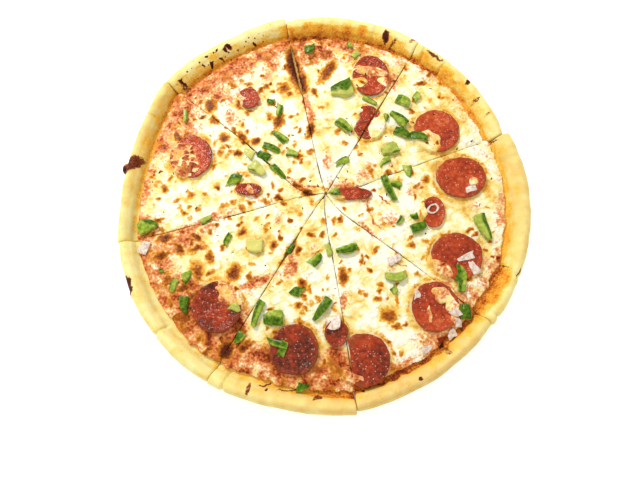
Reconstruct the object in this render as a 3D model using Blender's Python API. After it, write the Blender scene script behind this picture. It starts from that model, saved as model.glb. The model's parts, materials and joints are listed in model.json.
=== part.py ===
"""A whole pepperoni pizza, baked in one piece and then cut into eight slices that still lie together.

Metres, +Z up. The pizza rests on z = 0, with the origin at the middle of its round outline. Each slice
is three layers, dough, sauce and cheese, and the toppings lie on the cheese. Seen from above, +X is to
the right. The cuts meet at CUT_CENTRE, a little off the middle, and run out from it at CUT_ANGLES.
"""

import math

import bmesh
import bpy
from mathutils import Matrix, Vector, noise
from mathutils.bvhtree import BVHTree

MM = 0.001

# Driving dimensions of the pizza, in millimetres
PIZZA_RADIUS = 178.0
RIM_WIDTH = 19.0
DOUGH_THICKNESS = 6.0
RIM_HEIGHT = 18.0
SAUCE_THICKNESS = 1.0
CHEESE_THICKNESS = 3.0
LAYER_GAP = 0.3
TIP_RADIUS = 3.0
TIP_WIDTH = 1.6

# The eight knife cuts: where they meet, their angles at the rim, and how far each one strays sideways
# (anticlockwise positive) where it wandered most, LEAN_RADIUS out from there. Places here are measured
# from the middle of the round pan, and the outline that came out of it has its own middle, the origin.
CUT_CENTRE = (4.0, 2.0)
OUTLINE_MIDDLE = (2.8, -0.3)
CUT_ANGLES = (19.0, 59.5, 102.5, 144.0, 194.5, 239.0, 277.5, 320.0)
CUT_LEANS = (-3.5, 0.0, 1.4, 11.5, -2.5, -1.5, -3.5, -4.5)
LEAN_RADIUS = 25.0
KNIFE_GAP = 0.9
SLICE_COUNT = len(CUT_ANGLES)

# Places where the cheese pulled back from a cut: cut, distance out, reach along the cut, opening
CHEESE_OPENINGS = ((1, 78.0, 16.0, 3.0), (2, 126.0, 22.0, 4.0), (3, 62.0, 14.0, 1.6), (5, 62.0, 13.0, 2.6))

# Outer radius of each slice's rim at its first cut, middle and second cut, and its rim's width
RIM_RADII = (
    (171.5, 174.5, 175.0),
    (176.5, 177.0, 176.0),
    (179.5, 177.0, 179.5),
    (180.0, 171.0, 177.0),
    (176.0, 179.0, 180.0),
    (180.5, 178.0, 182.0),
    (179.5, 177.5, 176.5),
    (177.5, 179.5, 176.5),
)
RIM_WIDTHS = (14.5, 17.0, 16.5, 12.5, 12.5, 13.5, 14.5, 16.0)

# Large and small waves of the melted cheese: height and length
CHEESE_WAVES = ((0.8, 26.0), (0.4, 12.0))
CHEESE_FRAY = 3.0

# Pepperoni: slice, x, y, width, depth, and for one whose far side went with the next slice, True
PEPPERONI_THICKNESS = 1.8
PEPPERONI_CUP = 0.9
PEPPERONI = (
    (3, -66, 92, 20, 20, False),
    (4, -114, 35, 36, 40, False),
    (2, 45, 115, 34, 41, False),
    (2, 42, 68, 29, 33, True),
    (1, 42, 68, 29, 33, True),
    (1, 102, 60, 41, 41, False),
    (8, 121, 16, 43, 38, False),
    (8, 95.5, -15.5, 20, 28, False),
    (8, 113, -54, 43, 40, False),
    (7, 92, -96, 39, 41, False),
    (7, 34, -138, 41, 42, True),
    (6, 12, -117, 19, 23, False),
    (6, -22, -130, 40, 40, False),
    (5, -85, -96, 41, 42, False),
    (8, 26, 1, 34, 11, False),
    (4, -63, 5, 22, 11, False),
)

# Large pieces of green pepper: slice, x, y, length, width, turn in degrees
PEPPER_THICKNESS = 4.0
PEPPERS = (
    (2, 18, 101, 19, 16, 13),
    (2, 20, 65, 15, 8, 136),
    (1, 74, 89, 13, 9, 153),
    (1, 69, 72, 18, 8, 138),
    (1, 72, 58, 15, 7, 155),
    (1, 60, 42, 15, 11, 18),
    (8, 58, 6, 24, 7, 112),
    (8, 82, -29, 13, 9, 22),
    (8, 137, -29, 24, 9, 110),
    (8, 115, -79, 10, 8, 89),
    (7, 117, -100, 12, 11, 86),
    (7, 61, -71, 17, 8, 5),
    (7, 21, -48, 18, 7, 14),
    (6, 0, -98, 21, 7, 53),
    (6, -39, -105, 15, 13, 3),
    (6, -52, -101, 21, 6, 70),
    (5, -56, -45, 13, 12, 2),
    (4, -147, -28, 16, 11, 16),
    (4, -56, 24, 15, 10, 136),
)

# The one large square of onion, in the same order
ONION_THICKNESS = 2.0
ONIONS = ((7, 61, -57, 11, 8, 26),)

# Small bits of pepper and onion, which are part of the cheese that they sank into, in the same order
BIT_THICKNESS = 3.0
BITS = (
    (1, 86, 94, 8, 6, 51),
    (1, 58, 76, 6, 4, 88),
    (2, -8, 143, 9, 8, 0),
    (2, 26, 145, 7, 5, 102),
    (2, 13, 34, 10, 5, 35),
    (3, -46, 89, 7, 5, 163),
    (3, -40, 79, 11, 5, 79),
    (3, -36, 54, 14, 6, 141),
    (3, -26, 42, 10, 6, 166),
    (4, -122, 74, 12, 4, 92),
    (4, -76, 20, 11, 9, 2),
    (4, -38, 17, 11, 5, 148),
    (5, -80, -36, 10, 4, 64),
    (5, -111, -66, 8, 7, 41),
    (5, -122, -74, 11, 5, 71),
    (5, -113, -93, 13, 6, 96),
    (6, -8, -62, 12, 7, 50),
    (6, -62, -124, 10, 6, 57),
    (6, -20, -84, 8, 7, 47),
    (7, 60, -82, 7, 6, 60),
    (8, 77, 16, 9, 6, 98),
    (8, 64, -22, 8, 4, 57),
)

# Scorched bubbles and drips on the rim: slice, angle, radius, height of the middle, length, width, height
RIM_LUMPS = (
    (4, 171.5, 172.0, 7.5, 12.0, 9.0, 8.0),
    (5, 209.0, 177.0, 7.0, 12.0, 6.0, 8.0),
    (2, 66.0, 169.0, 14.5, 8.0, 8.0, 6.0),
    (1, 42.0, 165.0, 13.5, 8.0, 7.0, 6.0),
)

# How finely the layers are divided: across a slice, outwards under the cheese, and outwards on top of it
INNER_SHARES = (0.0, 0.08, 0.18, 0.32, 0.55, 0.93)
DOUGH_STEPS = 12
CHEESE_STEPS = 14
CHEESE_RINGS = 15


def smooth(low, high, value):
    """0 up to low, 1 from high on, and an even S between them."""
    share = min(1.0, max(0.0, (value - low) / (high - low)))
    return share * share * (3.0 - 2.0 * share)


def make_material(name, colour, roughness):
    """A plain finish of this colour, given as linear red, green and blue."""
    material = bpy.data.materials.new(name)
    material.use_nodes = True
    shader = material.node_tree.nodes["Principled BSDF"]
    shader.inputs["Base Color"].default_value = (*colour, 1.0)
    shader.inputs["Roughness"].default_value = roughness
    shader.inputs["Metallic"].default_value = 0.0
    return material


def place_of(obj, material, collection, parent):
    """Gives a new object its material, its collection and the slice that carries it."""
    obj.data.materials.clear()
    obj.data.materials.append(material)
    for old in list(obj.users_collection):
        old.objects.unlink(obj)
    collection.objects.link(obj)
    obj.parent = parent


def stroke_angle(cut, radius):
    """Angle of one stroke of the knife at this distance from where the cuts meet, in radians."""
    turns, cut = divmod(cut, SLICE_COUNT)
    stray = CUT_LEANS[cut] / LEAN_RADIUS * math.exp(1.0 - radius / LEAN_RADIUS)
    return math.radians(CUT_ANGLES[cut] + 360.0 * turns) + stray


def cut_angle(cut, radius):
    """Angle of a knife cut. One that strayed into the next cut ends there."""
    return min(stroke_angle(cut, radius), stroke_angle(cut + 1, radius))


def tip_radius(index):
    """Distance out at which a slice is as wide as its blunt tip."""
    radius = TIP_RADIUS
    while (cut_angle(index, radius) - cut_angle(index - 1, radius)) * radius < TIP_WIDTH + KNIFE_GAP:
        radius += 0.5
    return radius


def slice_angle(index, radius, share, cheese=False):
    """Angle at this share of the way across slice 1 to 8, inside the gaps that the knife left."""
    half_gap = KNIFE_GAP / 2.0 / radius
    first = cut_angle(index - 1, radius) + half_gap
    second = cut_angle(index, radius) - half_gap
    if cheese:
        for cut, middle, reach, opening in CHEESE_OPENINGS:
            back = opening / 2.0 / radius * math.exp(-(((radius - middle) / reach) ** 2))
            first += back if cut == index - 1 else 0.0
            second -= back if cut == index % SLICE_COUNT else 0.0
    return first + (second - first) * share


def rim_radius(index, share, angle):
    """Outer radius of a slice's rim, measured from where the cuts meet."""
    first, middle, second = RIM_RADII[index - 1]
    bulge = 4.0 * share * (1.0 - share)
    from_middle = first + (second - first) * share + (middle - (first + second) / 2.0) * bulge
    return from_middle - CUT_CENTRE[0] * math.cos(angle) - CUT_CENTRE[1] * math.sin(angle)


def stretched(radius, rim, width):
    """A radius on the even profile, moved to suit a rim of this outer radius and width."""
    foot = PIZZA_RADIUS - RIM_WIDTH
    if radius >= foot:
        return rim - (PIZZA_RADIUS - radius) * width / RIM_WIDTH
    return radius + (rim - width - foot) * smooth(foot * 0.5, foot, radius)


def cheese_height(x, y):
    """Height of the cheese's top: slow waves, pressed flat under each pepperoni."""
    waves = 0.0
    for height, length in CHEESE_WAVES:
        waves += height * noise.noise(Vector((x / length, y / length, 0.5)))
    for _, middle_x, middle_y, width, depth, _ in PEPPERONI:
        away = math.hypot((x - middle_x) / width, (y - middle_y) / depth) * 2.0
        waves *= smooth(1.0, 1.5, away)
    return cheese_top() + waves


def cheese_top():
    """Even height of the cheese's top."""
    return DOUGH_THICKNESS + SAUCE_THICKNESS + CHEESE_THICKNESS + 2.0 * LAYER_GAP


def face_outwards(solid):
    """Turns every face of a closed shape to the outside."""
    bmesh.ops.recalc_face_normals(solid, faces=solid.faces)
    if solid.calc_volume(signed=True) < 0.0:
        bmesh.ops.reverse_faces(solid, faces=solid.faces)
    solid.normal_update()


def spun_slice(name, index, profile, steps, moved):
    """A closed outline of (radius, height) spun through one radian, then set in place.

    The cut faces are divided while they are still flat. moved takes a point's share of the way
    across, its radius and its height, and gives its place.
    """
    mesh = bpy.data.meshes.new(name)
    solid = bmesh.new()
    corners = [solid.verts.new((radius, 0.0, height)) for radius, height in profile]
    face = solid.faces.new(corners)
    bmesh.ops.spin(
        solid,
        geom=[face, *face.edges, *corners],
        cent=(0.0, 0.0, 0.0),
        axis=(0.0, 0.0, 1.0),
        dvec=(0.0, 0.0, 0.0),
        angle=1.0,
        steps=steps,
        use_duplicate=False,
    )
    bmesh.ops.remove_doubles(solid, verts=solid.verts, dist=1e-6)
    bmesh.ops.triangulate(solid, faces=[face for face in solid.faces if len(face.verts) > 4])
    for point in solid.verts:
        share = math.atan2(point.co.y, point.co.x)
        radius = math.hypot(point.co.x, point.co.y)
        point.co = Vector(moved(share, radius, point.co.z)) * MM
    face_outwards(solid)
    level = [
        edge
        for edge in solid.edges
        if len(edge.link_faces) == 2 and min(abs(face.normal.z) for face in edge.link_faces) > 0.99999
    ]
    bmesh.ops.dissolve_edges(solid, edges=level, use_verts=True, use_face_split=False)
    bmesh.ops.triangulate(solid, faces=solid.faces)
    solid.to_mesh(mesh)
    solid.free()
    obj = bpy.data.objects.new(name, mesh)
    bpy.context.scene.collection.objects.link(obj)
    return obj


def from_tip(index, share):
    """Radius at this share of the way from a slice's tip to the foot of the rim."""
    tip = tip_radius(index)
    return tip + (PIZZA_RADIUS - RIM_WIDTH - tip) * share


def make_crust(index):
    """The dough under one slice, with its rolled rim, a little lower where the knife pressed it."""
    rim_foot = PIZZA_RADIUS - RIM_WIDTH
    half = RIM_HEIGHT / 2.0
    inner = [from_tip(index, share) for share in INNER_SHARES]
    profile = [(radius, 0.0) for radius in inner]
    profile += [
        (PIZZA_RADIUS - 9.0, 0.0),
        (PIZZA_RADIUS - 4.2, 0.8),
        (PIZZA_RADIUS - 1.3, half - 4.6),
        (PIZZA_RADIUS, half),
        (PIZZA_RADIUS - 0.9, half + 4.0),
        (PIZZA_RADIUS - 3.8, RIM_HEIGHT - 1.3),
        (PIZZA_RADIUS - 7.8, RIM_HEIGHT),
        (PIZZA_RADIUS - 11.6, RIM_HEIGHT - 1.5),
        (rim_foot + 2.6, half + 3.4),
        (rim_foot + 0.9, half),
        (rim_foot - 1.0, DOUGH_THICKNESS + 0.3),
    ]
    profile += [(radius, DOUGH_THICKNESS) for radius in reversed(inner)]

    def moved(share, radius, height):
        angle = slice_angle(index, radius, share)
        rim = rim_radius(index, share, angle)
        far = stretched(radius, rim, RIM_WIDTHS[index - 1])
        from_cut = min(share, 1.0 - share) * (cut_angle(index, far) - cut_angle(index - 1, far)) * far
        pressed = 1.0 - 0.10 * math.exp(-((from_cut / 7.0) ** 2))
        uneven = 1.0 + 0.06 * noise.noise(Vector((3.0 * math.cos(angle), 3.0 * math.sin(angle), 2.0)))
        if height > DOUGH_THICKNESS + 0.5:
            height = DOUGH_THICKNESS + (height - DOUGH_THICKNESS) * pressed * uneven
        return far * math.cos(angle), far * math.sin(angle), height

    return spun_slice(f"crust_{index}", index, profile, DOUGH_STEPS, moved)


def make_sauce(index):
    """The thin layer of sauce, which ends at the foot of the rim."""
    rim_foot = PIZZA_RADIUS - RIM_WIDTH
    low = DOUGH_THICKNESS + LAYER_GAP
    high = low + SAUCE_THICKNESS
    inner = [from_tip(index, share) for share in INNER_SHARES]
    profile = [(radius, low) for radius in inner]
    profile += [(rim_foot - 2.6, low + 0.4), (rim_foot - 1.4, high + 0.2), (rim_foot - 3.2, high + 0.4)]
    profile += [(radius, high) for radius in reversed(inner)]

    def moved(share, radius, height):
        angle = slice_angle(index, radius, share, cheese=True)
        rim = rim_radius(index, share, angle)
        far = stretched(radius, rim, RIM_WIDTHS[index - 1])
        return far * math.cos(angle), far * math.sin(angle), height

    return spun_slice(f"sauce_{index}", index, profile, DOUGH_STEPS, moved)


def make_cheese(index):
    """The melted cheese, waved on top and frayed along the rim."""
    rim_foot = PIZZA_RADIUS - RIM_WIDTH
    low = DOUGH_THICKNESS + SAUCE_THICKNESS + 2.0 * LAYER_GAP
    edge = rim_foot - 4.0
    profile = [(from_tip(index, share), low) for share in INNER_SHARES]
    profile += [(edge, low + 0.5), (edge + 0.8, low + 1.1), (edge - 1.5, low + 2.0)]
    top_reach = edge - 6.0
    tip = tip_radius(index)
    for ring in range(CHEESE_RINGS):
        profile.append((top_reach - (top_reach - tip) * ring / (CHEESE_RINGS - 1), cheese_top()))

    def moved(share, radius, height):
        angle = slice_angle(index, radius, share, cheese=True)
        rim = rim_radius(index, share, angle)
        fray = 0.5 + 0.5 * noise.noise(Vector((7.0 * math.cos(angle), 7.0 * math.sin(angle), 4.0)))
        far = stretched(radius, rim, RIM_WIDTHS[index - 1])
        far -= CHEESE_FRAY * fray * smooth(rim_foot - 30.0, edge, radius)
        x = far * math.cos(angle)
        y = far * math.sin(angle)
        if height >= cheese_top() - 0.01:
            height = cheese_height(x + CUT_CENTRE[0], y + CUT_CENTRE[1])
        return x, y, height

    return spun_slice(f"cheese_{index}", index, profile, CHEESE_STEPS, moved)


def resting_height(surface, x, y, length, width, turn):
    """Lowest height in metres at which a flat piece of this size lies clear of the cheese."""
    highest = 0.0
    samples = 9
    ahead = Vector((math.cos(math.radians(turn)), math.sin(math.radians(turn)), 0.0))
    aside = Vector((-ahead.y, ahead.x, 0.0))
    middle = Vector((x - CUT_CENTRE[0], y - CUT_CENTRE[1], 0.0))
    for i in range(samples):
        for j in range(samples):
            along = length * (i / (samples - 1) - 0.5)
            across = width * (j / (samples - 1) - 0.5)
            spot = (middle + ahead * along + aside * across) * MM
            found = surface.ray_cast(spot + Vector((0.0, 0.0, 0.1)), Vector((0.0, 0.0, -1.0)))[0]
            if found is not None:
                highest = max(highest, found.z)
    return highest


def trim_at_cuts(obj, index):
    """Cuts a piece off where it would reach past its slice's two straight cuts."""
    solid = bmesh.new()
    solid.from_mesh(obj.data)
    solid.transform(obj.matrix_basis)
    reach = math.hypot(obj.location.x, obj.location.y) / MM
    for cut, side in ((index - 1, 1.0), (index, -1.0)):
        angle = cut_angle(cut, reach) + side * 0.6 * KNIFE_GAP / reach
        across = Vector((-math.sin(angle), math.cos(angle), 0.0)) * side
        everything = [*solid.verts, *solid.edges, *solid.faces]
        cut_open = bmesh.ops.bisect_plane(
            solid, geom=everything, dist=1e-6, plane_co=(0.0, 0.0, 0.0), plane_no=across, clear_inner=True
        )
        rim = [part for part in cut_open["geom_cut"] if isinstance(part, bmesh.types.BMEdge)]
        if rim:
            bmesh.ops.contextual_create(solid, geom=rim)
    solid.transform(obj.matrix_basis.inverted())
    face_outwards(solid)
    solid.to_mesh(obj.data)
    solid.free()


def make_pepperoni(number, index, x, y, width, depth, surface):
    """A disc of sausage whose edge curled up a little in the oven."""
    thickness = PEPPERONI_THICKNESS * MM
    rest = resting_height(surface, x, y, width, depth, 0.0)
    bpy.ops.mesh.primitive_cylinder_add(vertices=18, radius=0.5, depth=1.0)
    obj = bpy.context.object
    obj.name = f"pepperoni_{number:02d}"
    obj.location = (
        (x - CUT_CENTRE[0]) * MM,
        (y - CUT_CENTRE[1]) * MM,
        rest + LAYER_GAP * MM + thickness / 2.0,
    )
    solid = bmesh.new()
    solid.from_mesh(obj.data)
    caps = [face for face in solid.faces if abs(face.normal.z) > 0.9]
    bmesh.ops.inset_individual(solid, faces=caps, thickness=0.16, depth=0.0)
    for point in solid.verts:
        out = math.hypot(point.co.x, point.co.y)
        angle = math.atan2(point.co.y, point.co.x)
        uneven = 1.0 + 0.035 * noise.noise(Vector((2.0 * math.cos(angle), 2.0 * math.sin(angle), number)))
        lift = PEPPERONI_CUP * MM if out > 0.4 else 0.0
        lower = point.co.z < 0.0
        point.co.x *= width * MM * uneven
        point.co.y *= depth * MM * uneven
        point.co.z = point.co.z * thickness + lift * (0.4 if lower else 1.0)
    solid.to_mesh(obj.data)
    solid.free()
    return obj


def make_chunk(name, index, x, y, length, width, turn, thickness, height, seed):
    """A cut bit of vegetable: a slab that tapers a little and bows along its length."""
    bpy.ops.mesh.primitive_cube_add(size=1.0)
    obj = bpy.context.object
    obj.name = name
    obj.location = ((x - CUT_CENTRE[0]) * MM, (y - CUT_CENTRE[1]) * MM, height)
    obj.rotation_euler = (0.0, 0.0, math.radians(turn))
    solid = bmesh.new()
    solid.from_mesh(obj.data)
    long_edges = [e for e in solid.edges if abs((e.verts[0].co - e.verts[1].co).x) > 0.9]
    if length > 12.0:
        bmesh.ops.subdivide_edges(solid, edges=long_edges, cuts=3)
    for point in solid.verts:
        share = point.co.x * 2.0
        skew = noise.noise(Vector((seed, point.co.x * 3.0, point.co.y * 2.0)))
        taper = 1.0 - 0.22 * share * share
        top = point.co.z > 0.0
        point.co.x = (point.co.x + 0.06 * skew) * length * MM
        point.co.y = (point.co.y * taper + 0.16 * skew) * width * MM
        point.co.z = (point.co.z + 0.5) * thickness * MM
        if top:
            point.co.z -= 0.18 * share * share * thickness * MM
            point.co.y *= 0.86
    solid.to_mesh(obj.data)
    solid.free()
    return obj


def fuse(obj, collection):
    """Joins every solid in the collection to the object, and then removes them."""
    union = obj.modifiers.new("joined", "BOOLEAN")
    union.operation = "UNION"
    union.operand_type = "COLLECTION"
    union.collection = collection
    union.solver = "EXACT"
    graph = bpy.context.evaluated_depsgraph_get()
    joined = bpy.data.meshes.new_from_object(obj.evaluated_get(graph))
    obj.modifiers.clear()
    obj.data = joined
    for part in list(collection.objects):
        bpy.data.objects.remove(part)
    bpy.data.collections.remove(collection)


def surface_of(obj):
    """The object's faces, ready to be asked where a straight line meets them."""
    solid = bmesh.new()
    solid.from_mesh(obj.data)
    tree = BVHTree.FromBMesh(solid)
    solid.free()
    return tree


def add_rim_lumps(crust, index, material, carrier):
    """Fuses the scorched bubbles and drips of one slice to its rim."""
    lumps = [lump for lump in RIM_LUMPS if lump[0] == index]
    if not lumps:
        return
    joined = bpy.data.collections.new(f"lumps_{index}")
    bpy.context.scene.collection.children.link(joined)
    for _, angle, radius, height, length, width, tall in lumps:
        bpy.ops.mesh.primitive_uv_sphere_add(segments=10, ring_count=6, radius=0.5)
        lump = bpy.context.object
        turn = math.radians(angle)
        x = radius * math.cos(turn) - CUT_CENTRE[0]
        y = radius * math.sin(turn) - CUT_CENTRE[1]
        size = Matrix.Diagonal((width * MM, length * MM, tall * MM, 1.0))
        lump.data.transform(Matrix.Rotation(turn, 4, "Z") @ size)
        lump.location = (x * MM, y * MM, height * MM)
        place_of(lump, material, joined, carrier)
    fuse(crust, joined)


def add_bits(cheese, index, surface, material, carrier):
    """Fuses the small bits of pepper and onion of one slice to its cheese."""
    joined = bpy.data.collections.new(f"bits_{index}")
    bpy.context.scene.collection.children.link(joined)
    for number, (where, x, y, length, width, turn) in enumerate(BITS):
        if where != index:
            continue
        height = resting_height(surface, x, y, 1.0, 1.0, turn) - BIT_THICKNESS * 0.5 * MM
        name = f"bit_{number}"
        bit = make_chunk(name, index, x, y, min(length, 12.0), width, turn, BIT_THICKNESS, height, number)
        place_of(bit, material, joined, carrier)
    fuse(cheese, joined)


def make_pizza():
    """Every slice with its layers and toppings."""
    for obj in list(bpy.data.objects):
        bpy.data.objects.remove(obj)
    pizza = bpy.data.collections.new("pepperoni_pizza")
    bpy.context.scene.collection.children.link(pizza)
    crust_finish = make_material("baked_dough", (0.85, 0.60, 0.26), 0.75)
    sauce_finish = make_material("tomato_sauce", (0.52, 0.09, 0.02), 0.35)
    cheese_finish = make_material("melted_cheese", (0.93, 0.80, 0.50), 0.40)
    sausage_finish = make_material("pepperoni", (0.40, 0.06, 0.03), 0.35)
    pepper_finish = make_material("green_pepper", (0.13, 0.33, 0.03), 0.30)
    onion_finish = make_material("white_onion", (0.86, 0.78, 0.66), 0.35)
    carriers = {}
    surfaces = {}
    for index in range(1, SLICE_COUNT + 1):
        carrier = bpy.data.objects.new(f"slice_{index}", None)
        along = CUT_CENTRE[0] - OUTLINE_MIDDLE[0]
        across = CUT_CENTRE[1] - OUTLINE_MIDDLE[1]
        carrier.location = (along * MM, across * MM, 0.0)
        pizza.objects.link(carrier)
        carriers[index] = carrier
        crust = make_crust(index)
        place_of(crust, crust_finish, pizza, carrier)
        add_rim_lumps(crust, index, crust_finish, carrier)
        place_of(make_sauce(index), sauce_finish, pizza, carrier)
        cheese = make_cheese(index)
        place_of(cheese, cheese_finish, pizza, carrier)
        surfaces[index] = surface_of(cheese)
        add_bits(cheese, index, surfaces[index], cheese_finish, carrier)
    for number, (index, x, y, width, depth, crossing) in enumerate(PEPPERONI, start=1):
        disc = make_pepperoni(number, index, x, y, width, depth, surfaces[index])
        if crossing:
            trim_at_cuts(disc, index)
        place_of(disc, sausage_finish, pizza, carriers[index])
    kinds = (
        ("pepper", PEPPERS, PEPPER_THICKNESS, pepper_finish),
        ("onion", ONIONS, ONION_THICKNESS, onion_finish),
    )
    for kind, pieces, thickness, finish in kinds:
        for number, (index, x, y, length, width, turn) in enumerate(pieces, start=1):
            height = resting_height(surfaces[index], x, y, length, width, turn) + LAYER_GAP * MM
            name = f"{kind}_{number:02d}"
            chunk = make_chunk(name, index, x, y, length, width, turn, thickness, height, number)
            place_of(chunk, finish, pizza, carriers[index])


make_pizza()
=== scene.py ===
"""A whole pepperoni pizza, cut into eight slices, seen from almost straight above on a white table."""

import json
import math
import random

import bmesh
import bpy
import numpy as np
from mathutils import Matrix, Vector
from mathutils.bvhtree import BVHTree

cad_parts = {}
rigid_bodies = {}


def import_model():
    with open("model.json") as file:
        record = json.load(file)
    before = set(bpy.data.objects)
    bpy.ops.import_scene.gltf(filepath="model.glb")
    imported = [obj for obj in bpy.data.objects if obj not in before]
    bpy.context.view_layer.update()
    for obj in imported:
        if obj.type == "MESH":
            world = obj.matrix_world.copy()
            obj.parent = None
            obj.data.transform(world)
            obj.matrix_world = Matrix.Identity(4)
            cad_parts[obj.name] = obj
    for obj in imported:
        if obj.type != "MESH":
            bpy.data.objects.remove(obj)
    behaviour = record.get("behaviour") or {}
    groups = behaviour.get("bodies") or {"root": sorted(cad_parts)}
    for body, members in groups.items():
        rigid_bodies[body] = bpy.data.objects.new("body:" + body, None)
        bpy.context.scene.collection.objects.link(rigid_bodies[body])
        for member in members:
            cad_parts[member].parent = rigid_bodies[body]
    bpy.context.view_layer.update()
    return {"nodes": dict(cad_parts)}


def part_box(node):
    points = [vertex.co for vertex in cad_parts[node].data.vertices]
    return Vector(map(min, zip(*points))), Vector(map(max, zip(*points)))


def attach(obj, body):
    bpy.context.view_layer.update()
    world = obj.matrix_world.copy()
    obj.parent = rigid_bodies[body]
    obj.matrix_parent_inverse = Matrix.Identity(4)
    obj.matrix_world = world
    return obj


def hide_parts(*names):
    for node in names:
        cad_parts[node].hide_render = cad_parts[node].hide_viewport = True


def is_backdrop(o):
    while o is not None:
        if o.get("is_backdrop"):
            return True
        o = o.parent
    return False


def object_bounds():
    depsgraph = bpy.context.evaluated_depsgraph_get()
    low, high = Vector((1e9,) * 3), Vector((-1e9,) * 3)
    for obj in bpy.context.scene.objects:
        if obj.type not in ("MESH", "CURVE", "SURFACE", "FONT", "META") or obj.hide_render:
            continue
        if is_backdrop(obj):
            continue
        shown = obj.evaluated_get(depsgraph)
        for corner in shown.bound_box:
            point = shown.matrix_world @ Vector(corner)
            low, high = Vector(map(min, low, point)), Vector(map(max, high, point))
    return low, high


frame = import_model()

# The table, the light and the camera.
# A white table under a bright, even ceiling, with a window behind and to the left, and the phone held a
# little short of straight above.
# Places on the pizza are in millimetres, measured from the middle of its round baking pan.
MM = 0.001
PAN_TO_OUTLINE = Vector((-2.8, 0.3, 0.0))
CAMERA_AT = (-1.3, -142.9, 419.3)
CAMERA_AIM = (-1.3, -37.0, 0.0)
CAMERA_SENSOR = 36.0
CAMERA_LENS = 28.125
TABLE_GLOW = 0.40
CEILING_STRENGTH = 0.74
WINDOW_AT = (-0.45, 0.66, 0.85)
WINDOW_SIZE = 0.30
WINDOW_WATTS = 8.5
WHITE = (1.0, 1.0, 1.0, 1.0)


def place(x, y, z=0.0):
    """A place on the pizza, in metres."""
    return (Vector((x, y, z)) + PAN_TO_OUTLINE) * MM


def linear(code):
    """The linear red, green, blue and alpha of an sRGB hex colour."""
    parts = [int(code[i : i + 2], 16) / 255.0 for i in (1, 3, 5)]
    return tuple(c / 12.92 if c <= 0.04045 else ((c + 0.055) / 1.055) ** 2.4 for c in parts) + (1.0,)


def add_node(material, kind, inputs=None, stops=(), **settings):
    """Adds one shader node, with its settings, the stops of its ramp, and what its inputs take.

    An input takes a number, an sRGB hex colour, a socket, or a node, which stands for its first output.
    """
    made = material.node_tree.nodes.new(kind)
    for name, value in settings.items():
        setattr(made, name, value)
    for number, (position, colour) in enumerate(stops):
        ramp = made.color_ramp.elements
        stop = ramp[number] if number < len(ramp) else ramp.new(position)
        stop.position = position
        stop.color = linear(colour)
    for name, value in (inputs or {}).items():
        if isinstance(value, bpy.types.Node):
            value = value.outputs[0]
        if isinstance(value, bpy.types.NodeSocket):
            material.node_tree.links.new(value, made.inputs[name])
        else:
            made.inputs[name].default_value = linear(value) if isinstance(value, str) else value
    return made


def new_material(name, roughness, shine):
    """A material with its roughness and the strength of its reflection set."""
    material = bpy.data.materials.new(name)
    material.use_nodes = True
    shader = material.node_tree.nodes["Principled BSDF"]
    shader.inputs["Roughness"].default_value = roughness
    shader.inputs["Specular IOR Level"].default_value = shine
    return material


def finish_with(material, colour, height, strength, distance):
    """Gives the material's shader its colour, and its fine relief from this height."""
    shader = material.node_tree.nodes["Principled BSDF"]
    bump = {"Height": height, "Strength": strength, "Distance": distance}
    relief = add_node(material, "ShaderNodeBump", bump)
    material.node_tree.links.new(colour.outputs[0], shader.inputs["Base Color"])
    material.node_tree.links.new(relief.outputs[0], shader.inputs["Normal"])


bpy.ops.object.select_all(action="DESELECT")
bpy.ops.mesh.primitive_plane_add(size=6.0, location=(0.0, 0.0, -0.0002))
table_top = bpy.context.object
table_top.name = "table_top"
laminate = new_material("white_laminate", 0.6, 0.3)
laminate_shader = laminate.node_tree.nodes["Principled BSDF"]
laminate_shader.inputs["Base Color"].default_value = WHITE
laminate_shader.inputs["Emission Color"].default_value = WHITE
laminate_shader.inputs["Emission Strength"].default_value = TABLE_GLOW
table_top.data.materials.append(laminate)
table_top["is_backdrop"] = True

world = bpy.data.worlds.new("white_ceiling")
bpy.context.scene.world = world
world.use_nodes = True
world.node_tree.nodes["Background"].inputs["Color"].default_value = WHITE
world.node_tree.nodes["Background"].inputs["Strength"].default_value = CEILING_STRENGTH

bpy.ops.object.light_add(type="AREA", location=WINDOW_AT)
window = bpy.context.object
window.name = "window"
window.data.shape = "DISK"
window.data.size = WINDOW_SIZE
window.data.energy = WINDOW_WATTS
window.rotation_euler = (-Vector(WINDOW_AT)).to_track_quat("-Z", "Y").to_euler()

bpy.ops.object.camera_add(location=place(*CAMERA_AT))
camera = bpy.context.object
camera.name = "camera"
camera.rotation_euler = (place(*CAMERA_AIM) - place(*CAMERA_AT)).to_track_quat("-Z", "Y").to_euler()
camera.data.sensor_width = CAMERA_SENSOR
camera.data.lens = CAMERA_LENS
camera.data.clip_start = 0.01
bpy.context.scene.camera = camera
bpy.context.scene.view_settings.view_transform = "Standard"
bpy.context.scene.view_settings.look = "None"

# The dough of each slice: wheat bread dough, stretched by hand and baked on an oiled pan.
# Its rim is rolled, so it has soft lumps, pinched folds and scorched bubbles, and its inner side is
# orange and brown where sauce and fat soaked in and baked on. The brown at the rim's inner foot, where
# it meets the cheese, is partly painted shade, and part of the rim's tan is painted shade on the side
# nearest the camera.
SLICES = range(1, 9)
DOUGH_CELL = 1.1 * MM
# The rim's soft lumps: how long they are and how high
DOUGH_LUMPS = ((26.0, 0.55), (11.0, 0.32), (4.5, 0.12))
RIM_PER_DEGREE = 2.9
RIM_MIDDLE = 160.0
# How far the walls of a cut come together, where the cuts meet, and how far the tips reach inwards
CUT_GAP_CLOSED = 0.33
CUT_CENTRE = (4.0, 2.0)
TIP_REACH = 1.8
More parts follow.
